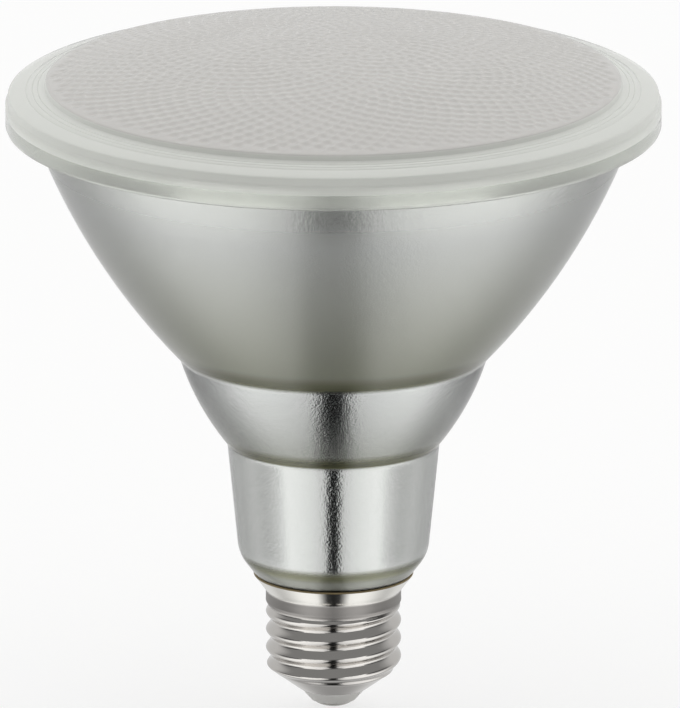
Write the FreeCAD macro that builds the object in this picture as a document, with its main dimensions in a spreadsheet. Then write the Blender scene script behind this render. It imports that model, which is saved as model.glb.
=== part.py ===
import FreeCAD, Part
import math
import os
import re
import Sketcher

# A reflector lamp with a pressed glass body and an E27 screw cap, in millimetres.
# The axis is Z, the foot of the centre contact is at the origin and the lens faces up.
# Heights are measured from the foot of the contact.

sizeTable = {
    # Lens: a domed glass disc with a sloping flange and a skirt that hides the joint
    "rimRadius": 63.1,
    "skirtThickness": 1.5,
    "skirtOverhang": 0.7,
    "rimStepDepth": 0.35,
    "rimStepHeight": 1.55,
    "rimStepSlope": 0.3,
    "rimStepDraft": 0.1,
    "lensEdgeThickness": 2.7,
    "flangeRise": 1.4,
    "riserHeight": 1.2,
    "riserRun": 0.5,
    "flangeWidth": 7.4,
    "domeRise": 5.5,
    "lensThickness": 2.8,
    "lensCavityInset": 0.8,
    "rimEdgeRound": 0.5,
    "lensEdgeRound": 0.4,
    "adhesiveThickness": 0.6,
    "adhesiveInset": 0.6,
    # Reflector: cone, bowl and neck pressed in one piece of glass
    "reflectorFlangeThickness": 2.4,
    "flangeClearance": 0.4,
    "mouthLedge": 4.8,
    "coneLedge": 3.05,
    "coneHeight": 46.37,
    "coneArcRadius": 132.0,
    "bowlFlare": 9.27,
    "bowlHeight": 17.45,
    "bowlArcRadius": 51.5,
    "neckTopRadius": 20.55,
    "neckHeight": 22.12,
    "neckTaper": 2.2,
    "shoulderAngle": 37.0,
    "tailClearance": 0.53,
    "tailLength": 5.1,
    "tailTopLift": 0.4,
    "glassWall": 2.6,
    "kinkRound": 1.2,
    "shoulderRound": 7.0,
    "innerRound": 2.0,
    # Screw cap: one thin sheet, drawn, flared and rolled to the E27 thread
    "capCrestRadius": 13.1,
    "threadDepth": 0.97,
    "threadPitch": 3.629,
    "threadRunIn": 2.2,
    "threadLength": 10.7,
    "threadRunOut": 1.6,
    "crestTopDrop": 2.0,
    "collarLead": 0.3,
    "collarHeight": 2.2,
    "flareHeight": 3.2,
    "capSheet": 0.3,
    "capMouthRadius": 6.85,
    "capTaperRise": 3.4,
    "capTaperDrop": 0.75,
    "capTaperLap": 0.7,
    "flareFit": 0.1,
    "cementFit": 0.05,
    "cementLength": 5.6,
    "cementCover": 1.4,
    # Insulator and centre contact at the foot of the cap
    "contactFlatRadius": 1.6,
    "contactRadius": 4.2,
    "contactHeight": 1.2,
    "contactArcRadius": 5.0,
    "rivetRadius": 1.5,
    "rivetHeadRadius": 2.3,
    "rivetHeadHeight": 0.5,
    "noseHeight": 2.5,
    "noseLedge": 0.15,
    "insulatorTopLift": 1.6,
    "insulatorTopFit": 0.63,
    "insulatorFit": 0.08,
    "insulatorTaperFit": 0.3,
    # Heat spreader and LED board, seated in the bowl
    "spreaderThickness": 1.2,
    "spreaderFootLift": 4.0,
    "spreaderFit": 0.15,
    "wireHoleRadius": 3.0,
    "ledBoardMargin": 4.32,
    "ledBoardThickness": 1.6,
    "ledLength": 3.5,
    "ledWidth": 2.8,
    "ledHeight": 0.7,
    "outerRingMargin": 5.0,
    "outerRingCount": 12,
    "innerRingRadius": 13.0,
    "innerRingCount": 6,
    "boltCircleRadius": 17.0,
    "screwCount": 3,
    "screwRadius": 1.2,
    "screwHeadRadius": 2.3,
    "screwHeadHeight": 1.5,
    "screwLength": 5.0,
    "screwClearance": 0.15,
    "threadedHoleFit": 0.05,
    "screwSlotWidth": 0.6,
    "screwSlotDepth": 0.6,
    "connectorLength": 6.0,
    "connectorWidth": 7.0,
    "connectorHeight": 3.0,
    "connectorStart": 4.5,
    "wireEntryDepth": 3.6,
    # Driver sleeve and board, upright in the neck
    "sleeveFit": 0.2,
    "sleeveWall": 1.0,
    "sleeveFootLift": 1.2,
    "sleeveFootInset": 0.6,
    "sleeveHoleRadius": 6.0,
    "boardThickness": 1.6,
    "boardSideGap": 2.1,
    "boardTopGap": 6.17,
    "railFit": 0.1,
    "railHeight": 4.5,
    "railWidth": 1.2,
    "railGrip": 0.9,
    # Parts on the driver board, and the room left between them
    "partGap": 1.3,
    "partMargin": 1.26,
    "footMargin": 2.0,
    "topMargin": 3.0,
    "transformerLift": 18.9,
    "filmLift": 17.5,
    "bulkCanLength": 16.0,
    "outputCanStep": 1.0,
    "outputCanLength": 11.0,
    "canGrooveHeight": 1.2,
    "canGrooveDepth": 0.4,
    "canFit": 0.05,
    "coreSideReach": 4.0,
    "coreEndReach": 1.0,
    "coreDepth": 5.0,
    "coreLimb": 1.7,
    "coreLeg": 4.0,
    "windingOverhang": 3.0,
    "windingFit": 0.1,
    "filmDepth": 5.0,
    "filmHeight": 9.0,
    "filmRound": 0.6,
    "chokeRadius": 4.0,
    "chokeHeight": 8.0,
    "chokeFlange": 1.0,
    "chokeWaist": 0.5,
    "bridgeWidth": 4.7,
    "bridgeHeight": 3.9,
    "bridgeDepth": 1.5,
    "chipWidth": 4.9,
    "chipHeight": 3.9,
    "chipDepth": 1.5,
    "chipLeadWidth": 0.4,
    "chipLeadLength": 1.0,
    "chipLeadPitch": 1.27,
    "chipLeadThickness": 0.25,
    "fuseRadius": 1.75,
    "fuseLength": 6.5,
    "fuseCapLength": 1.6,
    "fuseWaistDepth": 0.25,
    "varistorRadius": 3.5,
    "varistorDepth": 3.2,
    # Wires from the contact and the cap to the board, and from the board to the LEDs
    "wireRadius": 0.7,
    "wireFit": 0.1,
    "wireOffset": 0.8,
    "wireRise": 6.0,
    "solderLength": 4.0,
    "liveBend": 4.0,
    "neutralBend": 2.0,
    "outputBend": 1.5,
    "tailWireInset": 1.5,
    "neutralDrop": 4.0,
    "neutralEndGap": 0.3,
}

# Sizes that follow from the ones above, stacked from the foot of the contact upwards
derivedTable = {
    "capMouthHeight": "contactHeight + noseHeight",
    "capTaperHeight": "capMouthHeight + capTaperRise",
    "threadStartHeight": "capTaperHeight - capTaperLap",
    "threadFullHeight": "threadStartHeight + threadRunIn",
    "threadFadeHeight": "threadFullHeight + threadLength",
    "threadEndHeight": "threadFadeHeight + threadRunOut",
    "firstCrestHeight": "threadEndHeight - crestTopDrop",
    "collarFootHeight": "threadEndHeight + collarLead",
    "collarTopHeight": "collarFootHeight + collarHeight",
    "flareTopHeight": "collarTopHeight + flareHeight",
    "capRootRadius": "capCrestRadius - threadDepth",
    "collarRadius": "capCrestRadius",
    "capTaperRadius": "capRootRadius - capTaperDrop",
    "insulatorNoseRadius": "contactRadius + noseLedge",
    "insulatorTopHeight": "capTaperHeight + insulatorTopLift",
    "insulatorTopRadius": "capRootRadius - capSheet - insulatorTopFit",
    "cementTopHeight": "collarFootHeight + cementCover",
    "cementFootHeight": "cementTopHeight - cementLength",
    "tailRadius": "capRootRadius - capSheet - tailClearance",
    "tailTopHeight": "collarFootHeight + tailTopLift",
    "tailEndHeight": "tailTopHeight - tailLength",
    "neckBaseRadius": "neckTopRadius - neckTaper",
    "shoulderSlope": "tan(shoulderAngle)",
    "neckBaseHeight": "tailTopHeight + (neckBaseRadius - tailRadius) / shoulderSlope",
    "neckTopHeight": "neckBaseHeight + neckHeight",
    "waistRadius": "neckTopRadius + bowlFlare",
    "waistHeight": "neckTopHeight + bowlHeight",
    "flangeFootHeight": "waistHeight + coneHeight",
    "mouthHeight": "flangeFootHeight + reflectorFlangeThickness",
    "rimBottomHeight": "flangeFootHeight - skirtOverhang",
    "lensSeatHeight": "mouthHeight + adhesiveThickness",
    "flangeEdgeHeight": "lensSeatHeight + lensEdgeThickness",
    "rimWallTopHeight": "flangeEdgeHeight - rimStepHeight",
    "riserFootHeight": "flangeEdgeHeight + flangeRise",
    "discEdgeHeight": "riserFootHeight + riserHeight",
    "lensTopHeight": "discEdgeHeight + domeRise",
    "flangeEdgeRadius": "rimRadius - rimStepDepth - rimStepDraft",
    "skirtInnerRadius": "rimRadius - skirtThickness",
    "reflectorFlangeRadius": "skirtInnerRadius - flangeClearance",
    "mouthRadius": "reflectorFlangeRadius - mouthLedge",
    "coneTopRadius": "reflectorFlangeRadius - coneLedge",
    "lensDiscRadius": "rimRadius - riserRun - flangeWidth",
    "lensCavityRadius": "lensDiscRadius - lensCavityInset",
    "domeArcRadius": "(lensDiscRadius^2 + domeRise^2) / (2 * domeRise)",
    "domeInnerArcRadius": "(lensCavityRadius^2 + domeRise^2) / (2 * domeRise)",
    "neckSlope": "(neckTopRadius - neckBaseRadius) / (neckTopHeight - neckBaseHeight)",
    "bowlHalfChord": "sqrt((waistRadius - neckTopRadius)^2 + (waistHeight - neckTopHeight)^2) / 2",
    "bowlCentreOffset": "sqrt(bowlArcRadius^2 - bowlHalfChord^2)",
    "bowlCentreRadius": "(waistRadius + neckTopRadius) / 2"
                        " - bowlCentreOffset * (waistHeight - neckTopHeight) / (2 * bowlHalfChord)",
    "bowlCentreHeight": "(waistHeight + neckTopHeight) / 2"
                        " + bowlCentreOffset * (waistRadius - neckTopRadius) / (2 * bowlHalfChord)",
    "spreaderFootHeight": "neckTopHeight + spreaderFootLift",
    "spreaderTopRadius": "waistRadius - glassWall - spreaderFit",
    "spreaderFootRadius": "bowlCentreRadius - glassWall - spreaderFit"
                          " + sqrt(bowlArcRadius^2 - (spreaderFootHeight - bowlCentreHeight)^2)",
    "ledBoardRadius": "waistRadius - ledBoardMargin",
    "outerRingRadius": "ledBoardRadius - outerRingMargin",
    "ledSeatHeight": "waistHeight + ledBoardThickness",
    "boardHalf": "boardThickness / 2",
    "sleeveFootHeight": "neckBaseHeight + sleeveFootLift",
    "sleeveBaseRadius": "neckBaseRadius - glassWall - sleeveFit + neckSlope * sleeveFootLift",
    "sleeveTopRadius": "neckTopRadius - glassWall - sleeveFit",
    "boardFootHeight": "sleeveFootHeight + sleeveWall",
    "boardTopHeight": "waistHeight - spreaderThickness - boardTopGap",
    "boardHeight": "boardTopHeight - boardFootHeight",
    "boardHalfWidth": "sleeveBaseRadius - sleeveWall - boardSideGap",
    "partRoom": "boardHalfWidth - partGap - partMargin",
    "bulkCanRadius": "partRoom / 2",
    "outputCanRadius": "partRoom / 2 - outputCanStep",
    "filmWidth": "partRoom",
    "coreWidth": "partRoom + coreSideReach",
    "coreHeight": "partRoom + coreEndReach",
    "flareTopRadius": "tailRadius + shoulderSlope * (flareTopHeight - tailTopHeight) + flareFit + capSheet",
    "cementTopRadius": "tailRadius + shoulderSlope * (cementTopHeight - tailTopHeight) + cementFit",
    "transformerHeight": "boardFootHeight + transformerLift",
}

doc = FreeCAD.newDocument("ReflectorLamp")
sheet = doc.addObject("Spreadsheet::Sheet", "Sizes")
for row, (alias, value) in enumerate(sizeTable.items(), start=1):
    sheet.set(f"A{row}", str(value))
    sheet.setAlias(f"A{row}", alias)
for row, (alias, formula) in enumerate(derivedTable.items(), start=1):
    sheet.set(f"C{row}", "=" + formula)
    sheet.setAlias(f"C{row}", alias)
doc.recompute()


# An expression on the sheet's sizes, as another object has to write it
def bound(text):
    def named(match):
        word = match.group(0)
        return f"Sizes.{word}" if word in sizeTable or word in derivedTable else word
    return re.sub(r"[A-Za-z]\w*", named, text)


def size(text):
    return float(sheet.evalExpression(bound(text)))


def newBody(label):
    body = doc.addObject("PartDesign::Body", label)
    body.Label = label
    return body


# Put a body's own origin where the expressions say
def place(body, x="0", y="0", z="0"):
    for axis, text in (("x", x), ("y", y), ("z", z)):
        body.setExpression(f"Placement.Base.{axis}", bound(text))


def newSketch(body, role, offset="0"):
    sketch = body.newObject("Sketcher::SketchObject", body.Name + "Sketch")
    plane = next(item for item in body.Origin.OriginFeatures if item.Role == role)
    sketch.AttachmentSupport = (plane, [""])
    sketch.MapMode = "FlatFace"
    sketch.setExpression("AttachmentOffset.Base.z", bound(offset))
    return sketch


def bindConstraint(sketch, constraint, text):
    index = sketch.addConstraint(constraint)
    sketch.setExpression(f"Constraints[{index}]", bound(text))


# Hold one sketch point at the two expressions, measured from the sketch's origin
def holdPoint(sketch, item, end, x, y):
    for kind, text, axis in (("DistanceX", x, -2), ("DistanceY", y, -1)):
        value = size(text)
        if text == "0":
            sketch.addConstraint(Sketcher.Constraint("PointOnObject", item, end, axis))
        elif value < 0:
            bindConstraint(sketch, Sketcher.Constraint(kind, item, end, -1, 1, -value), f"-({text})")
        else:
            bindConstraint(sketch, Sketcher.Constraint(kind, -1, 1, item, end, value), text)


# A closed outline. A corner is (x, y), or (x, y, radius, side) where an arc leads to the next
# corner and its centre is on the left (side 1) or the right (side -1) of the way there.
def addOutline(sketch, corners):
    points = [FreeCAD.Vector(size(corner[0]), size(corner[1]), 0) for corner in corners]
    ends = []
    for index, corner in enumerate(corners):
        here, there = points[index], points[(index + 1) % len(corners)]
        if len(corner) == 2:
            item = sketch.addGeometry(Part.LineSegment(here, there), False)
            ends.append((item, 1, 2))
            continue
        radius, side = size(corner[2]), corner[3]
        chord = there - here
        left = FreeCAD.Vector(-chord.y, chord.x, 0).normalize()
        centre = (here + there) / 2 + left * (side * math.sqrt(radius**2 - (chord.Length / 2)**2))
        middle = centre - left * (side * radius)
        first, last = (here, there) if side == 1 else (there, here)
        item = sketch.addGeometry(Part.Arc(first, middle, last), False)
        ends.append((item, 1, 2) if side == 1 else (item, 2, 1))
    for index, (item, start, end) in enumerate(ends):
        following, followingStart, _ = ends[(index + 1) % len(ends)]
        sketch.addConstraint(Sketcher.Constraint("Coincident", item, end, following, followingStart))
    for (item, start, _), corner in zip(ends, corners):
        holdPoint(sketch, item, start, corner[0], corner[1])
        if len(corner) > 2:
            bindConstraint(sketch, Sketcher.Constraint("Radius", item, size(corner[2])), corner[2])


def addRectangle(sketch, left, right, bottom, top):
    addOutline(sketch, [(left, bottom), (right, bottom), (right, top), (left, top)])


def addCircle(sketch, x, y, radius):
    centre = FreeCAD.Vector(size(x), size(y), 0)
    item = sketch.addGeometry(Part.Circle(centre, FreeCAD.Vector(0, 0, 1), size(radius)), False)
    holdPoint(sketch, item, 3, x, y)
    bindConstraint(sketch, Sketcher.Constraint("Radius", item, size(radius)), radius)


def revolve(body, sketch, axis="V_Axis"):
    feature = body.newObject("PartDesign::Revolution", body.Name + "Revolution")
    feature.Profile = sketch
    feature.ReferenceAxis = (sketch, [axis])
    feature.Angle = 360
    return feature


def revolved(label, corners):
    body = newBody(label)
    sketch = newSketch(body, "XZ_Plane")
    addOutline(sketch, corners)
    revolve(body, sketch)
    return body


def pad(body, sketch, length, backward=False):
    feature = body.newObject("PartDesign::Pad", body.Name + "Pad")
    feature.Profile = sketch
    feature.setExpression("Length", bound(length))
    feature.Reversed = backward
    return feature


def pocket(body, sketch, depth, backward=False):
    feature = body.newObject("PartDesign::Pocket", body.Name + "Pocket")
    feature.Profile = sketch
    feature.setExpression("Length", bound(depth))
    feature.Reversed = backward
    return feature


def polar(body, feature, sketch, axis, count):
    pattern = body.newObject("PartDesign::PolarPattern", body.Name + "Pattern")
    pattern.Originals = [feature]
    pattern.Axis = (sketch, [axis])
    pattern.Angle = 360
    pattern.setExpression("Occurrences", bound(count))
    body.Tip = pattern
    return pattern


# Round the circular edges that lie at the given (radius, height) pairs
def roundRings(body, rings, radius):
    doc.recompute()
    base = body.Tip
    names = []
    for ringRadius, height in rings:
        for index, edge in enumerate(base.Shape.Edges, start=1):
            box = edge.BoundBox
            level = abs(box.ZMin - size(height)) < 0.01 and box.ZLength < 0.01
            if level and abs(box.XMax - size(ringRadius)) < 0.01:
                names.append(f"Edge{index}")
    feature = body.newObject("PartDesign::Fillet", body.Name + "Fillet")
    feature.Base = (base, names)
    feature.setExpression("Radius", bound(radius))


def makeReflector():
    body = revolved("reflector_body", [
        ("tailRadius", "tailEndHeight"),
        ("tailRadius", "tailTopHeight"),
        ("neckBaseRadius", "neckBaseHeight"),
        ("neckTopRadius", "neckTopHeight", "bowlArcRadius", 1),
        ("waistRadius", "waistHeight", "coneArcRadius", 1),
        ("coneTopRadius", "flangeFootHeight"),
        ("reflectorFlangeRadius", "flangeFootHeight"),
        ("reflectorFlangeRadius", "mouthHeight"),
        ("mouthRadius", "mouthHeight", "coneArcRadius", -1),
        ("waistRadius - glassWall", "waistHeight", "bowlArcRadius", -1),
        ("neckTopRadius - glassWall", "neckTopHeight"),
        ("neckBaseRadius - glassWall", "neckBaseHeight"),
        ("tailRadius - glassWall", "tailTopHeight"),
        ("tailRadius - glassWall", "tailEndHeight"),
    ])
    roundRings(body, [("neckBaseRadius", "neckBaseHeight")], "shoulderRound")
    roundRings(body, [
        ("waistRadius", "waistHeight"),
        ("neckTopRadius", "neckTopHeight"),
        ("coneTopRadius", "flangeFootHeight"),
    ], "kinkRound")
    roundRings(body, [
        ("neckTopRadius - glassWall", "neckTopHeight"),
        ("neckBaseRadius - glassWall", "neckBaseHeight"),
    ], "innerRound")


def makeLens():
    body = revolved("front_lens", [
        ("0", "lensTopHeight - lensThickness"),
        ("0", "lensTopHeight", "domeArcRadius", -1),
        ("lensDiscRadius", "discEdgeHeight"),
        ("lensDiscRadius + riserRun", "riserFootHeight"),
        ("flangeEdgeRadius", "flangeEdgeHeight"),
        ("rimRadius - rimStepDepth", "rimWallTopHeight"),
        ("rimRadius", "rimWallTopHeight - rimStepSlope"),
        ("rimRadius", "rimBottomHeight"),
        ("skirtInnerRadius", "rimBottomHeight"),
        ("skirtInnerRadius", "lensSeatHeight"),
        ("lensCavityRadius", "lensSeatHeight"),
        ("lensCavityRadius", "discEdgeHeight - lensThickness", "domeInnerArcRadius", 1),
    ])
    roundRings(body, [("rimRadius", "rimBottomHeight")], "rimEdgeRound")
    roundRings(body, [
        ("lensDiscRadius", "discEdgeHeight"),
        ("lensDiscRadius + riserRun", "riserFootHeight"),
        ("flangeEdgeRadius", "flangeEdgeHeight"),
    ], "lensEdgeRound")


# The bead of glue that joins the flange of the lens to that of the reflector
def makeAdhesive():
    inner = "mouthRadius + adhesiveInset"
    outer = "reflectorFlangeRadius - adhesiveInset"
    revolved("lens_adhesive", [
        (inner, "mouthHeight"), (outer, "mouthHeight"), (outer, "lensSeatHeight"), (inner, "lensSeatHeight"),
    ])


def smoothStep(start, end, height):
    share = min(1.0, max(0.0, (height - start) / (end - start)))
    return share * share * (3 - 2 * share)


# Points along the sheet's plain outline, close enough for a smooth wall through them
def plainOutline(corners, step):
    points = []
    for (height, radius), (nextHeight, nextRadius) in zip(corners, corners[1:]):
        count = max(1, round(math.hypot(nextHeight - height, nextRadius - radius) / step))
        for index in range(count):
            share = index / count
            points.append((height + share * (nextHeight - height), radius + share * (nextRadius - radius)))
    points.append(corners[-1])
    return points


# The height of the thread's wave over the root at one angle and height. The crest climbs one
# pitch a turn, right-handed, and the wave fades out before the foot and the collar.
def threadWave(angle, height):
    turn = (height - size("firstCrestHeight")) / size("threadPitch") - (angle - math.pi) / (2 * math.pi)
    rise = smoothStep(size("threadStartHeight"), size("threadFullHeight"), height)
    fall = 1 - smoothStep(size("threadFadeHeight"), size("threadEndHeight"), height)
    depth = size("capCrestRadius - capRootRadius")
    return depth * rise * fall * (0.5 + 0.5 * math.cos(2 * math.pi * turn))


def capWall(outline, inset):
    columns = 16
    rows = []
    for height, radius in outline:
        row = []
        for column in range(columns + 1):
            angle = 2 * math.pi * column / columns
            reach = radius - inset + threadWave(angle, height)
            row.append(FreeCAD.Vector(reach * math.cos(angle), reach * math.sin(angle), height))
        rows.append(row)
    wall = Part.BSplineSurface()
    wall.interpolate(rows)
    return wall.toShape()


def edgeAt(face, height):
    return [edge for edge in face.Edges
            if edge.BoundBox.ZLength < 0.01 and abs(edge.BoundBox.ZMin - height) < 0.01]


# The cap's sheet: foot taper, rolled thread, collar and the flare that grips the glass shoulder
def makeScrewShell():
    outline = plainOutline([
        (size("capMouthHeight"), size("capMouthRadius")),
        (size("capTaperHeight"), size("capTaperRadius")),
        (size("threadFullHeight"), size("capRootRadius")),
        (size("threadFadeHeight"), size("capRootRadius")),
        (size("collarFootHeight"), size("collarRadius")),
        (size("collarTopHeight"), size("collarRadius")),
        (size("flareTopHeight"), size("flareTopRadius")),
    ], step=0.6)
    outer = capWall(outline, 0)
    inner = capWall(outline, size("capSheet"))
    faces = [outer, inner]
    for height in (size("capMouthHeight"), size("flareTopHeight")):
        lip = Part.Face([Part.Wire(edgeAt(outer, height)), Part.Wire(edgeAt(inner, height))])
        lip.validate()
        faces.append(lip)
    shell = Part.Shell(faces)
    shell.sewShape()
    feature = doc.addObject("Part::Feature", "screw_shell")
    feature.Label = "screw_shell"
    feature.Shape = Part.Solid(shell)


def makeCement():
    tail = "tailRadius + cementFit"
    root = "capRootRadius - capSheet - cementFit"
    collar = "collarRadius - capSheet - cementFit"
    revolved("cap_cement", [
        (tail, "cementFootHeight"), (root, "cementFootHeight"), (root, "threadFadeHeight"),
        (collar, "collarFootHeight"), (collar, "cementTopHeight"),
        ("cementTopRadius", "cementTopHeight"), (tail, "tailTopHeight"),
    ])


# The moulded nose that carries the contact, clamped in the mouth of the sheet
def makeInsulator():
    throat = "capMouthRadius - capSheet - insulatorFit"
    bore = "rivetRadius + insulatorFit"
    revolved("cap_insulator", [
        (bore, "contactHeight"), ("insulatorNoseRadius", "contactHeight"),
        (throat, "capMouthHeight - insulatorFit"), (throat, "capMouthHeight + capSheet"),
        ("capTaperRadius - capSheet - insulatorTaperFit", "capTaperHeight"),
        ("insulatorTopRadius", "insulatorTopHeight"), (bore, "insulatorTopHeight"),
    ])


def makeContact():
    head = "insulatorTopHeight + rivetHeadHeight"
    revolved("centre_contact", [
        ("0", "0"), ("contactFlatRadius", "0", "contactArcRadius", 1), ("contactRadius", "contactHeight"),
        ("rivetRadius", "contactHeight"), ("rivetRadius", "insulatorTopHeight"),
        ("rivetHeadRadius", "insulatorTopHeight"), ("rivetHeadRadius", head), ("0", head),
    ])


# A stamped aluminium cup: its plate carries the LED board and its skirt lies along the glass bowl
def makeSpreader():
    plateFoot = "waistHeight - spreaderThickness"
    body = revolved("heat_spreader", [
        ("wireHoleRadius", plateFoot), ("wireHoleRadius", "waistHeight"),
        ("spreaderTopRadius", "waistHeight", "bowlArcRadius", -1),
        ("spreaderFootRadius", "spreaderFootHeight"),
        ("spreaderFootRadius - spreaderThickness", "spreaderFootHeight", "bowlArcRadius", 1),
        ("spreaderTopRadius - spreaderThickness", plateFoot),
    ])
    drillScrewHoles(body, "waistHeight", "spreaderThickness", "screwRadius + threadedHoleFit")


# Holes on the bolt circle, from a face at the given height downward
def drillScrewHoles(body, height, depth, radius):
    sketch = newSketch(body, "XY_Plane", height)
    addCircle(sketch, "0", "boltCircleRadius", radius)
    hole = pocket(body, sketch, depth)
    polar(body, hole, sketch, "N_Axis", "screwCount")


def makeLedBoard():
    body = newBody("led_board")
    sketch = newSketch(body, "XY_Plane")
    addCircle(sketch, "0", "0", "ledBoardRadius")
    addCircle(sketch, "0", "0", "wireHoleRadius")
    pad(body, sketch, "ledBoardThickness")
    drillScrewHoles(body, "ledBoardThickness", "ledBoardThickness", "screwRadius + screwClearance")
    place(body, z="waistHeight")


# Two rings of LED packages, the outer one turned by half a step
def makeLeds():
    body = newBody("led_chips")
    for ring, count, turned in (("outerRingRadius", "outerRingCount", True),
                                ("innerRingRadius", "innerRingCount", False)):
        sketch = newSketch(body, "XY_Plane")
        if turned:
            sketch.setExpression("AttachmentOffset.Rotation.Angle", bound(f"180 / {count}"))
        addRectangle(sketch, f"{ring} - ledWidth / 2", f"{ring} + ledWidth / 2",
                     "-ledLength / 2", "ledLength / 2")
        packages = pad(body, sketch, "ledHeight")
        polar(body, packages, sketch, "N_Axis", count)
    place(body, z="ledSeatHeight")


def makeScrews():
    body = newBody("board_screws")
    sketch = newSketch(body, "XY_Plane")
    addCircle(sketch, "0", "boltCircleRadius", "screwRadius")
    shank = pad(body, sketch, "screwLength", backward=True)
    polar(body, shank, sketch, "N_Axis", "screwCount")
    sketch = newSketch(body, "XY_Plane")
    addCircle(sketch, "0", "boltCircleRadius", "screwHeadRadius")
    head = pad(body, sketch, "screwHeadHeight")
    polar(body, head, sketch, "N_Axis", "screwCount")
    sketch = newSketch(body, "XY_Plane", "screwHeadHeight")
    addRectangle(sketch, "-screwHeadRadius", "screwHeadRadius",
                 "boltCircleRadius - screwSlotWidth / 2", "boltCircleRadius + screwSlotWidth / 2")
    slot = pocket(body, sketch, "screwSlotDepth")
    polar(body, slot, sketch, "N_Axis", "screwCount")
    place(body, z="ledSeatHeight")


def makeConnector():
    body = newBody("board_connector")
    sketch = newSketch(body, "XY_Plane")
    addRectangle(sketch, "0", "connectorLength", "-connectorWidth / 2", "connectorWidth / 2")
    pad(body, sketch, "connectorHeight")
    sketch = newSketch(body, "YZ_Plane")
    for side in ("-", ""):
        addCircle(sketch, f"{side}connectorWidth / 4", "connectorHeight / 2", "wireRadius + wireFit")
    pocket(body, sketch, "wireEntryDepth", backward=True)
    place(body, x="connectorStart", z="ledSeatHeight")


# The insulating cup round the driver, with two short rails that grip the board's edges
def makeSleeve():
    floorRadius = "sleeveBaseRadius - sleeveFootInset"
    body = revolved("driver_sleeve", [
        ("sleeveHoleRadius", "sleeveFootHeight"), (floorRadius, "sleeveFootHeight"),
        ("sleeveBaseRadius + neckSlope * sleeveFootInset", "sleeveFootHeight + sleeveFootInset"),
        ("sleeveTopRadius", "neckTopHeight"), ("sleeveTopRadius - sleeveWall", "neckTopHeight"),
        ("sleeveBaseRadius - sleeveWall", "boardFootHeight"), ("sleeveHoleRadius", "boardFootHeight"),
    ])
    sketch = newSketch(body, "XY_Plane", "boardFootHeight")
    inner, outer = "boardHalfWidth - railGrip", "sleeveBaseRadius - sleeveWall / 2"
    near, far = "boardHalf + railFit", "boardHalf + railFit + railWidth"
    for left, right in ((inner, outer), (f"-({outer})", f"-({inner})")):
        addRectangle(sketch, left, right, near, far)
        addRectangle(sketch, left, right, f"-({far})", f"-({near})")
    pad(body, sketch, "railHeight")


def makeDriverBoard():
    body = newBody("driver_board")
    sketch = newSketch(body, "XZ_Plane", "-boardHalf")
    addRectangle(sketch, "-boardHalfWidth", "boardHalfWidth", "0", "boardHeight")
    pad(body, sketch, "boardThickness")
    place(body, z="boardFootHeight")


# An aluminium can with its crimped groove, standing along the board
def makeCan(label, radius, length, x, y, z):
    body = revolved(label, [
        ("0", "0"), (radius, "0"), (radius, "canGrooveHeight - canGrooveDepth"),
        (f"{radius} - canGrooveDepth", "canGrooveHeight"), (radius, "canGrooveHeight + canGrooveDepth"),
        (radius, length), ("0", length),
    ])
    roundRings(body, [(radius, length)], "canGrooveDepth")
    place(body, x, y, z)


# A block on the board's front face (y below zero), or on its back
def boardBlock(label, width, height, depth, x, z, front=True):
    body = newBody(label)
    sketch = newSketch(body, "XZ_Plane")
    addRectangle(sketch, f"-{width} / 2", f"{width} / 2", f"-{height} / 2", f"{height} / 2")
    pad(body, sketch, depth, backward=not front)
    place(body, x, "-boardHalf" if front else "boardHalf", z)
    return body


# Core pair with a window each side of the middle leg, and the coil that fills the windows
def makeTransformer():
    core = newBody("transformer_core")
    sketch = newSketch(core, "XY_Plane", "-coreDepth / 2")
    addRectangle(sketch, "-coreWidth / 2", "coreWidth / 2", "-coreHeight", "0")
    for side in ("-", ""):
        near, far = f"{side}coreLeg / 2", f"{side}(coreWidth / 2 - coreLimb)"
        left, right = (far, near) if side else (near, far)
        addRectangle(sketch, left, right, "-(coreHeight - coreLimb)", "-coreLimb")
    pad(core, sketch, "coreDepth")
    place(core, y="-boardHalf", z="transformerHeight")
    coil = newBody("transformer_winding")
    sketch = newSketch(coil, "XZ_Plane", "coreLimb + windingFit")
    reach = "(coreWidth / 2 - coreLimb - windingFit)"
    bulge = "(coreDepth / 2 + windingOverhang)"
    addRectangle(sketch, f"-{reach}", reach, f"-{bulge}", bulge)
    slotX, slotZ = "(coreLeg / 2 + windingFit)", "(coreDepth / 2 + windingFit)"
    addRectangle(sketch, f"-{slotX}", slotX, f"-{slotZ}", slotZ)
    pad(coil, sketch, "coreHeight - 2 * coreLimb - 2 * windingFit")
    place(coil, y="-boardHalf", z="transformerHeight")


# A drum choke: two flanges and the wound waist, its axis square to the board
def makeChoke():
    body = newBody("line_choke")
    sketch = newSketch(body, "XY_Plane")
    addOutline(sketch, [
        ("0", "0"), ("0", "-chokeHeight"), ("chokeRadius", "-chokeHeight"),
        ("chokeRadius", "-chokeHeight + chokeFlange"),
        ("chokeRadius - chokeWaist", "-chokeHeight + chokeFlange"),
        ("chokeRadius - chokeWaist", "-chokeFlange"), ("chokeRadius", "-chokeFlange"), ("chokeRadius", "0"),
    ])
    revolve(body, sketch)
    place(body, "-boardHalfWidth + chokeRadius + partGap", "-boardHalf",
          "boardFootHeight + chokeRadius + footMargin")


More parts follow.
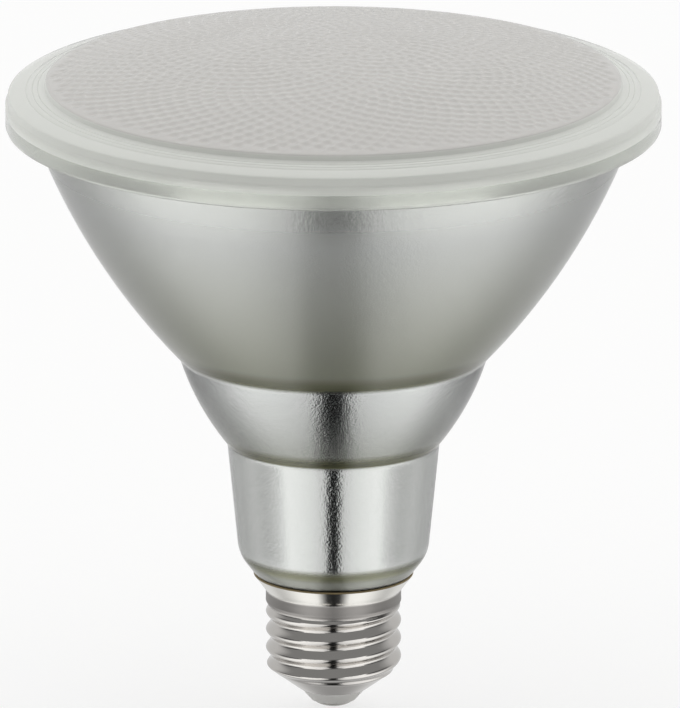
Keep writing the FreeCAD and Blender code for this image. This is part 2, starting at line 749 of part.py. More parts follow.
def makeChip():
    body = boardBlock("driver_chip", "chipWidth", "chipHeight", "chipDepth",
                      "-boardHalfWidth + chipWidth", "boardTopHeight - chipHeight / 2 - chipLeadLength")
    sketch = newSketch(body, "XZ_Plane")
    for side in ("-", ""):
        near, far = f"{side}chipHeight / 2", f"{side}(chipHeight / 2 + chipLeadLength)"
        bottom, top = (far, near) if side else (near, far)
        for step in (-1.5, -0.5, 0.5, 1.5):
            middle = f"{step} * chipLeadPitch"
            left, right = f"{middle} - chipLeadWidth / 2", f"{middle} + chipLeadWidth / 2"
            addRectangle(sketch, left, right, bottom, top)
    pad(body, sketch, "chipLeadThickness")


def makeBoardParts():
    makeCan("bulk_capacitor", "bulkCanRadius", "bulkCanLength",
            "-(bulkCanRadius + partGap)", "boardHalf + bulkCanRadius + canFit",
            "boardTopHeight - bulkCanLength - topMargin")
    makeCan("output_capacitor", "outputCanRadius", "outputCanLength",
            "outputCanRadius + partGap", "-(boardHalf + outputCanRadius + canFit)",
            "boardFootHeight + partGap")
    film = boardBlock("film_capacitor", "filmWidth", "filmHeight", "filmDepth",
                      "filmWidth / 2 + partGap", "boardFootHeight + filmLift", front=False)
    doc.recompute()
    rounding = film.newObject("PartDesign::Fillet", "film_capacitorFillet")
    rounding.Base = (film.Group[-2], upperEdges(film.Shape))
    rounding.setExpression("Radius", bound("filmRound"))
    boardBlock("bridge_rectifier", "bridgeWidth", "bridgeHeight", "bridgeDepth",
               "filmWidth / 2 + partGap", "boardTopHeight - bridgeHeight / 2 - topMargin", front=False)
    makeChoke()
    makeChip()
    makeFuse()
    makeVaristor()


# The edges of a block that reach beyond the board's back face
def upperEdges(shape):
    board = size("boardHalf")
    return [f"Edge{index}" for index, edge in enumerate(shape.Edges, start=1)
            if edge.BoundBox.YMax > board + 0.01]


# A fusible resistor: a waisted ceramic rod that lies along the board
def makeFuse():
    waist = "fuseRadius - fuseWaistDepth"
    body = revolved("fuse_resistor", [
        ("0", "0"), ("fuseRadius", "0"), ("fuseRadius", "fuseCapLength"),
        (waist, "fuseCapLength + fuseWaistDepth"), (waist, "fuseLength - fuseCapLength - fuseWaistDepth"),
        ("fuseRadius", "fuseLength - fuseCapLength"), ("fuseRadius", "fuseLength"), ("0", "fuseLength"),
    ])
    place(body, "-(bulkCanRadius + partGap)", "boardHalf + fuseRadius + canFit",
          "boardFootHeight + footMargin")


def makeVaristor():
    body = newBody("varistor")
    sketch = newSketch(body, "XZ_Plane")
    addCircle(sketch, "0", "0", "varistorRadius")
    pad(body, sketch, "varistorDepth", backward=True)
    place(body, "filmWidth / 2 + partGap", "boardHalf", "boardFootHeight + varistorRadius + footMargin")


# A round wire along straight runs joined by arcs of the given bend
def makeWire(route, bend, radius):
    corners = [FreeCAD.Vector(*point) for point in route]
    edges = []
    start = corners[0]
    for before, corner, after in zip(corners, corners[1:], corners[2:]):
        arriving = (corner - before).normalize()
        leaving = (after - corner).normalize()
        turn = arriving.getAngle(leaving)
        setback = bend * math.tan(turn / 2)
        entry, exit = corner - arriving * setback, corner + leaving * setback
        inward = (leaving - arriving).normalize()
        middle = corner + inward * (bend / math.cos(turn / 2) - bend)
        edges.append(Part.LineSegment(start, entry).toShape())
        edges.append(Part.Arc(entry, middle, exit).toShape())
        start = exit
    edges.append(Part.LineSegment(start, corners[-1]).toShape())
    direction = corners[1] - corners[0]
    section = Part.Wire(Part.makeCircle(radius, corners[0], direction))
    return Part.Wire(edges).makePipeShell([section], True, False)


def wireFeature(label, shapes):
    feature = doc.addObject("Part::Feature", label)
    feature.Label = label
    feature.Shape = shapes[0] if len(shapes) == 1 else Part.makeCompound(shapes)


def makeWires():
    radius = size("wireRadius")
    aside = size("wireOffset")
    beside = size("boardHalf + wireRadius + canFit")
    solder = size("boardFootHeight + solderLength")
    rivetTop = size("insulatorTopHeight + rivetHeadHeight")
    wireFeature("live_wire", [makeWire([
        (0, 0, rivetTop), (0, 0, rivetTop + size("wireRise")),
        (-aside, -beside, size("boardFootHeight - wireRise")), (-aside, -beside, solder),
    ], size("liveBend"), radius)])
    tailMiddle = size("tailRadius - glassWall - tailWireInset")
    wall = size("capRootRadius - capSheet - neutralEndGap")
    wireFeature("neutral_wire", [makeWire([
        (aside, beside, solder), (aside, beside, size("boardFootHeight - solderLength")),
        (aside, tailMiddle, size("tailTopHeight + tailWireInset")),
        (aside, tailMiddle, size("tailEndHeight - tailWireInset")),
        (aside, wall, size("tailEndHeight - neutralDrop")),
    ], size("neutralBend"), radius)])
    entry = size("ledSeatHeight + connectorHeight / 2")
    inside = size("connectorStart + wireEntryDepth - wireFit")
    spread = size("connectorWidth / 4")
    leave = size("boardTopHeight - solderLength")
    wireFeature("output_wires", [makeWire([
        (0, side * beside, leave), (0, side * spread, entry), (inside, side * spread, entry),
    ], size("outputBend"), radius) for side in (-1, 1)])


makeReflector()
makeLens()
makeAdhesive()
makeScrewShell()
makeCement()
makeInsulator()
makeContact()
makeSpreader()
makeLedBoard()
makeLeds()
makeScrews()
makeConnector()
makeSleeve()
makeDriverBoard()
makeTransformer()
makeBoardParts()
makeWires()
doc.recompute()

for item in doc.Objects:
    if "Invalid" in item.State or "Error" in item.State:
        raise RuntimeError(f"{item.Name} failed: {item.State}")

pieces = [item for item in doc.Objects if item.TypeId in ("PartDesign::Body", "Part::Feature")]
for piece in pieces:
    if piece.Shape.isNull() or not piece.Shape.isValid() or not piece.Shape.Solids:
        raise RuntimeError(f"{piece.Label} has no valid shape")

os.makedirs("parts", exist_ok=True)
for piece in pieces:
    piece.Shape.exportStep(f"parts/{piece.Label}.step")
    print(piece.Label, len(piece.Shape.Solids), round(piece.Shape.Volume, 1))
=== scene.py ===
import bmesh
import bpy
import math
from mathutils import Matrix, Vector
from mathutils.kdtree import KDTree


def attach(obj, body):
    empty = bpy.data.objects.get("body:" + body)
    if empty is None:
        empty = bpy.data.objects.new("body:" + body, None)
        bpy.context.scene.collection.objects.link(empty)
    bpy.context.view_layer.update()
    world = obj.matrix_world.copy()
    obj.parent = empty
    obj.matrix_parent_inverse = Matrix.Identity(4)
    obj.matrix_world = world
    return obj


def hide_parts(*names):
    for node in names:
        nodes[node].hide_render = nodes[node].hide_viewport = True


# A reflector lamp, cap down, with a pressed glass body and a dimpled lens.
# Lengths in the dictionaries are millimetres, and the mesh is in metres.
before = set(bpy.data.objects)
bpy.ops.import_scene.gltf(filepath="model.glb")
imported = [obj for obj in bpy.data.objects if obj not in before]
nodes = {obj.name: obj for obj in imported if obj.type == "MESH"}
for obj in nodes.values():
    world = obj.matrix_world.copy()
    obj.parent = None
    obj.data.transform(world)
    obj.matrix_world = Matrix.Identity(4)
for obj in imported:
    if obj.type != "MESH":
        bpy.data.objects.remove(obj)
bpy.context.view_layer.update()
mm = 0.001
print("frame loaded:", len(nodes), "nodes")


# An sRGB hex value as linear red, green and blue, with full alpha
def srgb(code):
    channels = [int(code[i:i + 2], 16) / 255 for i in (1, 3, 5)]
    linear = [c / 12.92 if c <= 0.04045 else ((c + 0.055) / 1.055) ** 2.4 for c in channels]
    return (*linear, 1.0)


# Add one node: settings go on its properties or its inputs, links join an input to a socket
def addNode(tree, kind, settings=None, links=None):
    node = tree.nodes.new(kind)
    for key, value in (settings or {}).items():
        if isinstance(key, str) and hasattr(node, key):
            setattr(node, key, value)
        else:
            node.inputs[key].default_value = value
    for key, socket in (links or {}).items():
        tree.links.new(socket, node.inputs[key])
    return node


# A new material with one shader, its output and the coordinates that its patterns read
def newMaterial(name, settings):
    material = bpy.data.materials.new(name)
    material.use_nodes = True
    tree = material.node_tree
    tree.nodes.clear()
    shader = addNode(tree, "ShaderNodeBsdfPrincipled", settings)
    addNode(tree, "ShaderNodeOutputMaterial", links={"Surface": shader.outputs["BSDF"]})
    place = addNode(tree, "ShaderNodeTexCoord")
    return material, tree, shader, place


# Give a ramp its stops, each a place from 0 to 1 and a colour or three equal levels
def setRamp(ramp, stops):
    elements = ramp.color_ramp.elements
    while len(elements) < len(stops):
        elements.new(0.5)
    for element, (position, colour) in zip(elements, stops):
        element.position = position
        element.color = colour if len(colour) == 4 else (*colour, 1.0)


# Noise on a material's surface, with its grain size and depth in millimetres. It lies over an
# earlier bump if there is one.
def addGrain(tree, shader, place, size, depth, detail, under=None):
    grain = addNode(tree, "ShaderNodeTexNoise", {"Scale": 1 / (size * mm), "Detail": detail},
                    {"Vector": place.outputs["Object"]})
    bump = addNode(tree, "ShaderNodeBump", {"Distance": depth * mm},
                   {"Height": grain.outputs["Fac"]})
    if under:
        tree.links.new(under.outputs[0], bump.inputs["Normal"])
    tree.links.new(bump.outputs[0], shader.inputs["Normal"])
    return grain, bump


# Colour and roughness that change with height. Each stop is a height and what holds there, and a
# ramp runs from 0 to the top height.
def shadeByHeight(tree, shader, place, top, tintsWithPaintedLight, rough):
    parts = addNode(tree, "ShaderNodeSeparateXYZ", links={0: place.outputs["Object"]})
    share = addNode(tree, "ShaderNodeMath", {"operation": "DIVIDE", 1: top * mm},
                    {0: parts.outputs["Z"]})
    colourStops = [(height / top, srgb(colour)) for height, colour in tintsWithPaintedLight]
    roughStops = [(height / top, [level] * 3) for height, level in rough]
    for stops, socket in ((colourStops, "Base Color"), (roughStops, "Roughness")):
        ramp = addNode(tree, "ShaderNodeValToRGB", links={0: share.outputs[0]})
        setRamp(ramp, stops)
        tree.links.new(ramp.outputs["Color"], shader.inputs[socket])


# Give every face of a CAD node the same material
def paint(nodeName, material):
    mesh = nodes[nodeName].data
    if not mesh.materials:
        mesh.materials.append(material)
    for index in range(len(mesh.materials)):
        mesh.materials[index] = material


# Turn a finished bmesh into a named piece that rides on the lamp. Edges sharper than the angle
# stay crisp, and points closer than the merge gap become one.
def finishPiece(bm, name, material, sharpAngle=35, mergeGap=0.002):
    bmesh.ops.remove_doubles(bm, verts=bm.verts, dist=mergeGap * mm)
    bmesh.ops.recalc_face_normals(bm, faces=bm.faces)
    mesh = bpy.data.meshes.new(name)
    bm.to_mesh(mesh)
    bm.free()
    mesh.shade_smooth()
    mesh.set_sharp_from_angle(angle=math.radians(sharpAngle))
    mesh.materials.append(material)
    piece = bpy.data.objects.new(name, mesh)
    bpy.context.scene.collection.objects.link(piece)
    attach(piece, "root")
    return piece


# Camera: a long lens from a little above, as the lamp is seen
cameraView = {
    "elevation": 15.8,   # degrees
    "distance": 4.0,     # metres
    "aimHeight": 70.4,
    "frameHeight": 136.6,
    "sensor": 36.0,
    "shiftPixels": 6.5,  # the lamp stands this far left of the middle
    "imageHeight": 708,
}
tilt = math.radians(cameraView["elevation"])
camera = bpy.data.objects.new("viewCamera", bpy.data.cameras.new("viewCamera"))
bpy.context.scene.collection.objects.link(camera)
camera.data.sensor_width = cameraView["sensor"]
camera.data.lens = cameraView["sensor"] * cameraView["distance"] / (cameraView["frameHeight"] * mm)
camera.data.shift_x = cameraView["shiftPixels"] / cameraView["imageHeight"]
camera.location = (
    0,
    -cameraView["distance"] * math.cos(tilt),
    cameraView["aimHeight"] * mm + cameraView["distance"] * math.sin(tilt),
)
camera.rotation_euler = (math.pi / 2 - tilt, 0, 0)
bpy.context.scene.camera = camera
bpy.context.scene.view_settings.view_transform = "Standard"
print("camera ready")

# Studio: a wide tent that is bright to the left and right, with a dark gap at the camera that widens
# below the lamp. Two bright windows stand level with the lamp, and the room above is dim. Behind the
# lamp is a plain wall, darker low down. Matt surfaces get a soft light that grows from front to back.
# Each stop of the tent and the windows is how far a direction leans sideways, 0 to 1, and the
# brightness there. The stops of windowHeights run from 0, straight down, to 1, straight up. Each
# start and end is a height or a depth on a ball of radius 1.
studio = {
    "tent": [(0, 0.015), (0.065, 0.035), (0.1, 0.28), (0.16, 0.95), (0.34, 1.22), (0.58, 1.42),
             (0.77, 1.55), (0.86, 1.1), (0.91, 0.9), (0.96, 0.62), (1, 0.55)],
    "brightest": 1.6,
    "gapWidening": 0.8,
    "gapStart": -0.5,
    "gapEnd": -0.9,
    "windows": [(0, 0.03), (0.12, 0.1), (0.24, 0.5), (0.34, 1.6), (0.8, 1.6), (0.86, 0.25),
                (0.93, 0.08), (1, 0.08)],
    "windowHeights": [(0.42, 0), (0.45, 1), (0.56, 1), (0.6, 0)],
    "backLevel": 0.72,
    "backLowLevel": 0.36,
    "backLowStart": -0.55,
    "backLowEnd": -0.92,
    "backStart": 0.0,
    "backEnd": 0.6,
    "aboveLevel": 0.3,
    "aboveStart": -0.25,
    "aboveEnd": -0.15,
    "diffuseLevel": 1.0,
    "diffuseBack": 0.8,
    "floorRadius": 6.0,  # metres
    "floorSegments": 64,
    "floorColour": "#FDFDFC",
    "shadowShare": 0.3,
}


# 1 where the background is seen at first hand or straight through glass and is plain white, and 0
# where a mirror has turned the ray, which then sees the tent. Glossy Depth counts the mirrors.
def seenPlain(tree, ray):
    seen = addNode(tree, "ShaderNodeMath", {"operation": "MAXIMUM"},
                   {0: ray.outputs["Is Camera Ray"], 1: ray.outputs["Is Transmission Ray"]})
    unturned = addNode(tree, "ShaderNodeMath", {"operation": "LESS_THAN", 1: 0.5},
                       {0: ray.outputs["Glossy Depth"]})
    return addNode(tree, "ShaderNodeMath", {"operation": "MULTIPLY"},
                   {0: seen.outputs[0], 1: unturned.outputs[0]})


# Brightness by stops: a ramp only holds 0 to 1, so it is kept as a share of the brightest level
def lightByStops(tree, socket, stops):
    ramp = addNode(tree, "ShaderNodeValToRGB", links={0: socket})
    setRamp(ramp, [(where, [level / studio["brightest"]] * 3) for where, level in stops])
    return addNode(tree, "ShaderNodeMath", {"operation": "MULTIPLY", 1: studio["brightest"]},
                   {0: ramp.outputs["Color"]})


# In front: the tent with its gap, dim above, and the windows across it
def frontLight(tree, parts):
    lean = addNode(tree, "ShaderNodeMath", {"operation": "ABSOLUTE"}, {0: parts.outputs["X"]})
    widened = addNode(tree, "ShaderNodeMapRange",
                      {"interpolation_type": "SMOOTHSTEP", "From Min": studio["gapStart"],
                       "From Max": studio["gapEnd"], "To Min": 1.0, "To Max": studio["gapWidening"]},
                      {"Value": parts.outputs["Z"]})
    side = addNode(tree, "ShaderNodeMath", {"operation": "MULTIPLY"},
                   {0: lean.outputs[0], 1: widened.outputs["Result"]})
    tent = lightByStops(tree, side.outputs[0], studio["tent"])
    above = addNode(tree, "ShaderNodeMapRange",
                    {"interpolation_type": "SMOOTHSTEP", "From Min": studio["aboveStart"],
                     "From Max": studio["aboveEnd"]}, {"Value": parts.outputs["Z"]})
    dimmed = addNode(tree, "ShaderNodeMix", {"data_type": "FLOAT", "B": studio["aboveLevel"]},
                     {"Factor": above.outputs["Result"], "A": tent.outputs[0]})
    panes = lightByStops(tree, lean.outputs[0], studio["windows"])
    # Half the height and a half brings -1 to 1 into the ramp's 0 to 1
    height = addNode(tree, "ShaderNodeMath", {"operation": "MULTIPLY_ADD", 1: 0.5, 2: 0.5},
                     {0: parts.outputs["Z"]})
    sill = addNode(tree, "ShaderNodeValToRGB", links={0: height.outputs[0]})
    setRamp(sill, [(where, [level] * 3) for where, level in studio["windowHeights"]])
    return addNode(tree, "ShaderNodeMix", {"data_type": "FLOAT"},
                   {"Factor": sill.outputs["Color"], "A": dimmed.outputs[0], "B": panes.outputs[0]})


# What a mirror sees: the front, and the plain wall behind the lamp
def mirrorLight(tree, parts):
    front = frontLight(tree, parts)
    behind = addNode(tree, "ShaderNodeMapRange",
                     {"interpolation_type": "SMOOTHSTEP", "From Min": studio["backStart"],
                      "From Max": studio["backEnd"]}, {"Value": parts.outputs["Y"]})
    wall = addNode(tree, "ShaderNodeMapRange",
                   {"interpolation_type": "SMOOTHSTEP", "From Min": studio["backLowStart"],
                    "From Max": studio["backLowEnd"], "To Min": studio["backLevel"],
                    "To Max": studio["backLowLevel"]}, {"Value": parts.outputs["Z"]})
    return addNode(tree, "ShaderNodeMix", {"data_type": "FLOAT"},
                   {"Factor": behind.outputs["Result"], "A": front.outputs[0],
                    "B": wall.outputs["Result"]})


def makeStudio():
    world = bpy.data.worlds.new("lightTent")
    world.use_nodes = True
    bpy.context.scene.world = world
    tree = world.node_tree
    tree.nodes.clear()
    ray = addNode(tree, "ShaderNodeLightPath")
    place = addNode(tree, "ShaderNodeTexCoord")
    parts = addNode(tree, "ShaderNodeSeparateXYZ", links={0: place.outputs["Generated"]})
    mirrored = mirrorLight(tree, parts)
    soft = addNode(tree, "ShaderNodeMath",
                   {"operation": "MULTIPLY_ADD", 1: studio["diffuseBack"], 2: studio["diffuseLevel"]},
                   {0: parts.outputs["Y"]})
    level = addNode(tree, "ShaderNodeMix", {"data_type": "FLOAT"},
                    {"Factor": ray.outputs["Is Diffuse Ray"], "A": mirrored.outputs[0],
                     "B": soft.outputs[0]})
    plain = seenPlain(tree, ray)
    strength = addNode(tree, "ShaderNodeMix", {"data_type": "FLOAT", "B": 1.0},
                       {"Factor": plain.outputs[0], "A": level.outputs[0]})
    background = addNode(tree, "ShaderNodeBackground", {"Color": (1, 1, 1, 1)},
                         {"Strength": strength.outputs[0]})
    addNode(tree, "ShaderNodeOutputWorld", links={"Surface": background.outputs[0]})


# The floor is white to the camera and keeps a soft shadow. Mirrors look past it at the tent.
def makeFloor():
    material = bpy.data.materials.new("paleFloor")
    material.use_nodes = True
    tree = material.node_tree
    tree.nodes.clear()
    ray = addNode(tree, "ShaderNodeLightPath")
    paper = addNode(tree, "ShaderNodeBsdfDiffuse", {"Color": srgb(studio["floorColour"])})
    glow = addNode(tree, "ShaderNodeEmission", {"Color": (1, 1, 1, 1), "Strength": 1.0})
    unseen = addNode(tree, "ShaderNodeBsdfTransparent")
    white = addNode(tree, "ShaderNodeMath", {"operation": "MULTIPLY", 1: 1 - studio["shadowShare"]},
                    {0: seenPlain(tree, ray).outputs[0]})
    shown = addNode(tree, "ShaderNodeMixShader",
                    links={0: white.outputs[0], 1: paper.outputs[0], 2: glow.outputs[0]})
    turned = addNode(tree, "ShaderNodeMath", {"operation": "GREATER_THAN", 1: 0.5},
                     {0: ray.outputs["Glossy Depth"]})
    surface = addNode(tree, "ShaderNodeMixShader",
                      links={0: turned.outputs[0], 1: shown.outputs[0], 2: unseen.outputs[0]})
    addNode(tree, "ShaderNodeOutputMaterial", links={"Surface": surface.outputs[0]})
    bm = bmesh.new()
    bmesh.ops.create_circle(bm, cap_ends=True, segments=studio["floorSegments"],
                            radius=studio["floorRadius"])
    mesh = bpy.data.meshes.new("paleFloor")
    bm.to_mesh(mesh)
    bm.free()
    mesh.materials.append(material)
    floor = bpy.data.objects.new("paleFloor", mesh)
    bpy.context.scene.collection.objects.link(floor)


makeStudio()
makeFloor()
print("studio ready")

# Body glass: pressed borosilicate, clear and faintly wavy, with a green-grey cast that shows where
# the wall is seen along its length, at the outline and the kinks
bodyGlass = {
    "colour": "#F8F8F5",
    "roughness": 0.02,
    "ior": 1.47,
    "cast": "#BFC0A0",
    "castPerMetre": 9.0,
    "waveSize": 4.0,
    "waveDepth": 0.003,
}


def makeBodyGlass():
    material, tree, shader, place = newMaterial("bodyGlass", {
        "Base Color": srgb(bodyGlass["colour"]), "Roughness": bodyGlass["roughness"],
        "IOR": bodyGlass["ior"], "Transmission Weight": 1.0,
    })
    addGrain(tree, shader, place, bodyGlass["waveSize"], bodyGlass["waveDepth"], 1.0)
    output = next(node for node in tree.nodes if node.type == "OUTPUT_MATERIAL")
    cast = addNode(tree, "ShaderNodeVolumeAbsorption",
                   {"Color": srgb(bodyGlass["cast"]), "Density": bodyGlass["castPerMetre"]})
    tree.links.new(cast.outputs[0], output.inputs["Volume"])
    return material


# Silver: aluminium vapour on the inside of the glass. It is satin on the stippled cone and a mirror
# on the neck, and its peel and grain break up the edge of each reflection. The grain is drawn
# coarser than the real one, so that it shows.
silver = {
    # Height and colour: the dark olive bands just above each kink are painted shade, the cone grows
    # darker towards its foot, which is painted shade too, and the band on the flange is palest, a
    # painted highlight
    "tintsWithPaintedLight": [(29.0, "#AEB0A9"), (29.8, "#7F806A"), (30.8, "#6C6D57"), (31.9, "#C2C4C4"),
              (52.9, "#C4C6C6"), (53.4, "#66674F"), (54.9, "#7A7B64"), (56.2, "#ACAEAA"),
              (62, "#B4B6B5"), (71.0, "#C0C2C3"), (71.6, "#62634E"), (73.2, "#7F806B"),
              (75.2, "#A9AB9E"), (90, "#B8BAB4"), (106, "#C6C8C8"), (116.2, "#C8CAC9"),
              (116.6, "#F8F9F7")],
    # Height and roughness: dull on the shoulder, at the kinks and on the cone, and a mirror on the
    # neck and the top of the bowl
    "rough": [(30.8, 0.3), (32.3, 0.05), (52.6, 0.05), (53.4, 0.3), (57, 0.22), (62, 0.15),
              (67.5, 0.07), (71.2, 0.06), (72.0, 0.33), (106, 0.33), (112, 0.24)],
    "top": 120.0,         # the height at the end of both ramps
    "peelSize": 1.0,
    "grainSize": 0.38,
    "peelDepth": 0.014,
    "grainDepth": 0.02,
    "coatThickness": 0.05,
    "segments": 160,
    "ringSpacing": 0.9,
    "cornerRound": 1.4,   # how far from each rounded corner its curve starts
    "cornerSteps": 6,
    "roundedCorners": 3,  # as many after the mouth: cone to bowl, bowl to neck, neck to shoulder
    # The coat from the mouth to the tail: radius, height, and the radius of the arc that leads to
    # the next point, or 0 for a straight line
    "wall": [(56.4, 116.9, 132.0), (29.0, 71.5, 62.0), (19.1, 53.6, 0), (17.3, 32.0, 0),
             (16.75, 30.0, 0), (11.5, 22.6, 0), (9.6, 20.8, 0), (9.6, 17.4, 0)],
    # The band of silver on the outer edge of the mouth's flange, seen through the skirt of the lens
    "band": {"radius": 61.24, "foot": 116.6, "top": 119.65},
}


def makeSilver():
    material, tree, shader, place = newMaterial("vapourSilver", {"Metallic": 1.0})
    shadeByHeight(tree, shader, place, silver["top"], silver["tintsWithPaintedLight"], silver["rough"])
    _, peel = addGrain(tree, shader, place, silver["peelSize"], silver["peelDepth"], 2.0)
    addGrain(tree, shader, place, silver["grainSize"], silver["grainDepth"], 1.0, peel)
    return material


# Points from start to just before end, on a straight line or on the arc that bulges away from the
# lamp's axis
def wallPoints(start, end, arcRadius, spacing):
    chord = end - start
    steps = max(2, round(chord.length / spacing))
    if not arcRadius:
        return [start.lerp(end, step / steps) for step in range(steps)]
    across = Vector((chord.y, -chord.x)).normalized()
    if across.x > 0:
        across = -across
    reach = math.sqrt(arcRadius ** 2 - (chord.length / 2) ** 2)
    centre = (start + end) / 2 + across * reach
    points = []
    for step in range(steps):
        spot = start.lerp(end, step / steps) - centre
        points.append(centre + spot.normalized() * arcRadius)
    return points


# Round the corners of a wall: each corner becomes a short curve that starts and ends on its sides,
# and the points between the curve's ends are left out
def roundCorners(points, corners, reach, steps):
    sameSpot = 0.001  # a point this near to a corner is the corner
    rounded = []
    for index, point in enumerate(points):
        near = min((point - corner).length for corner in corners)
        if near > reach:
            rounded.append(point)
        elif near < sameSpot:
            before = (points[index - 1] - point).normalized() * reach + point
            after = (points[index + 1] - point).normalized() * reach + point
            for step in range(steps + 1):
                share = step / steps
                rounded.append(before.lerp(point, share).lerp(point.lerp(after, share), share))
    return rounded


# Turn a closed loop of (radius, height) points about the lamp's axis
def spinLoop(bm, loop, segments):
    verts = [bm.verts.new((p.x * mm, 0, p.y * mm)) for p in loop]
    edges = [bm.edges.new((verts[i], verts[(i + 1) % len(verts)])) for i in range(len(verts))]
    bmesh.ops.spin(bm, geom=verts + edges, cent=(0, 0, 0), axis=(0, 0, 1), angle=math.tau,
                   steps=segments, use_merge=True)


# The coat is a closed skin that lies within the glass, near its inner wall
def makeCoat():
    corners = [Vector(point[:2]) for point in silver["wall"]]
    wall = []
    for index in range(len(corners) - 1):
        arcRadius = silver["wall"][index][2]
        wall += wallPoints(corners[index], corners[index + 1], arcRadius, silver["ringSpacing"])
    wall.append(corners[-1])
    rounded = corners[1:1 + silver["roundedCorners"]]
    wall = roundCorners(wall, rounded, silver["cornerRound"], silver["cornerSteps"])
    away = Vector((silver["coatThickness"], 0))
    bm = bmesh.new()
    spinLoop(bm, wall + [point + away for point in reversed(wall)], silver["segments"])
    band = silver["band"]
    ends = [Vector((band["radius"], height)) for height in (band["foot"], band["top"])]
    spinLoop(bm, ends + [point + away for point in reversed(ends)], silver["segments"])
    piece = finishPiece(bm, "silverCoat", makeSilver())
    print("silver coat: faces", len(piece.data.polygons))


paint("reflector_body", makeBodyGlass())
makeCoat()

# Lens glass: pressed borosilicate, faintly wavy. The disc is satin and milky with a warm grey cast.
# The flange is as milky, but paler and greenish. The skirt is nearly clear, so that the silvered
# edge behind it shows.
lensFinish = {"colour": "#E6E4E0", "roughness": 0.12, "ior": 1.47, "clearShare": 0.3}
skirtFinish = {"colour": "#F8FAF5", "roughness": 0.07, "ior": 1.47, "clearShare": 0.75}
flangeFinish = {"colour": "#F0F2EC", "roughness": 0.12, "ior": 1.47, "clearShare": 0.22}
lensWave = {"size": 3.0, "depth": 0.01}


def makeLensGlass(name, finish):
    material, tree, shader, place = newMaterial(name, {
        "Base Color": srgb(finish["colour"]), "Roughness": finish["roughness"],
        "IOR": finish["ior"], "Transmission Weight": finish["clearShare"],
    })
    addGrain(tree, shader, place, lensWave["size"], lensWave["depth"], 1.0)
    return material


# Lens: a domed disc with a spiral of shallow dimples, a riser, a sloping flange and the skirt
lens = {
    "discRadius": 55.2,
    "discEdgeHeight": 125.2,
    "domeRise": 5.48,
    "cellSize": 0.455,      # the largest side of a mesh cell on the disc
    "firstSegments": 12,
    "dimpleSpacing": 1.417,
    "dimpleDepth": 0.27,
    "dimpleArc": 3.4,       # the radius of the ball that pressed each dimple
    "patternShift": -0.8,   # the spiral's middle stands this far off the axis
    "dimpleEnd": 53.6,
    "spareDimples": 60,     # past the count that fills the disc, for the side that the shift bares
    # From the disc's edge over the flange, down the skirt and back under it: radius and height
    "profile": [
        (55.35, 125.05), (55.45, 124.7), (55.62, 124.15), (55.9, 123.96),
        (56.8, 123.78), (56.9, 123.67), (57.0, 123.74), (57.8, 123.58), (57.9, 123.47), (58.0, 123.54),
        (59.0, 123.34), (59.1, 123.24), (59.2, 123.3),
        (62.3, 122.67), (62.52, 122.56), (62.64, 122.35), (62.73, 121.1), (62.79, 121.0),
        (63.05, 120.8), (63.1, 120.7), (63.1, 119.3), (63.1, 116.7), (62.95, 116.35), (62.6, 116.2),
        (61.8, 116.2), (61.6, 116.4), (61.6, 119.7), (61.4, 119.9), (54.6, 119.9),
        (54.4, 120.1), (54.4, 122.2),
    ],
    "innerRings": 12,
    "flangeFoot": 119.35,   # the flange's glass ends here, and the skirt's begins
    "finishMargin": 0.1,    # how far outside the disc its glass ends
}


# The height of a dome at a radius, from the dome's edge and its rise at the middle
def domeHeight(radius, edgeRadius, edgeHeight, rise):
    arc = (edgeRadius ** 2 + rise ** 2) / (2 * rise)
    return edgeHeight + math.sqrt(arc ** 2 - radius ** 2) - math.sqrt(arc ** 2 - edgeRadius ** 2)


# Grow the open edge of a round mesh to a ring of the given radius and height
def growRing(bm, edges, radius, height):
    grown = bmesh.ops.extrude_edge_only(bm, edges=edges)["geom"]
    for vert in grown:
        if isinstance(vert, bmesh.types.BMVert):
            direction = Vector((vert.co.x, vert.co.y, 0)).normalized()
            vert.co = direction * radius * mm + Vector((0, 0, height * mm))
    return [edge for edge in grown if isinstance(edge, bmesh.types.BMEdge)]


# The middles of the dimples: the golden angle lays them out in even spirals
def dimpleSpots():
    golden = math.pi * (3 - math.sqrt(5))
    count = int((lens["discRadius"] / lens["dimpleSpacing"]) ** 2) + lens["spareDimples"]
    spots = []
    for index in range(count):
        reach = lens["dimpleSpacing"] * math.sqrt(index + 0.5)
        spot = Vector((reach * math.cos(index * golden) + lens["patternShift"],
                       reach * math.sin(index * golden), 0))
        if spot.length < lens["dimpleEnd"]:
            spots.append(spot)
    return spots


# A flat disc in rings of small cells: a ring is halved when its cells get wider than the cell size
def growDisc(bm):
    step = lens["cellSize"]
    rings = round(lens["discRadius"] / step)
    bmesh.ops.create_circle(bm, cap_ends=True, cap_tris=True, segments=lens["firstSegments"],
                            radius=lens["discRadius"] / rings * mm)
    edges = [edge for edge in bm.edges if edge.is_boundary]
    for ring in range(2, rings + 1):
        radius = lens["discRadius"] * ring / rings
        if 2 * math.pi * radius / len(edges) > step:
            halved = bmesh.ops.subdivide_edges(bm, edges=edges, cuts=1)["geom_split"]
            edges = [edge for edge in halved
                     if isinstance(edge, bmesh.types.BMEdge) and edge.is_boundary]
        edges = growRing(bm, edges, radius, 0)
    return edges


# Dome the disc and press a round hollow at each spot
def pressDisc(bm, spots):
    finder = KDTree(len(spots))
    for index, spot in enumerate(spots):
        finder.insert(spot, index)
    finder.balance()
    for vert in bm.verts:
        flat = Vector((vert.co.x, vert.co.y, 0)) / mm
        away = finder.find(flat)[2]  # how far the nearest spot is
        hollow = max(0.0, lens["dimpleDepth"] - away ** 2 / (2 * lens["dimpleArc"]))
        height = domeHeight(flat.length, lens["discRadius"], lens["discEdgeHeight"],
                            lens["domeRise"])
        vert.co.z = (height - hollow) * mm


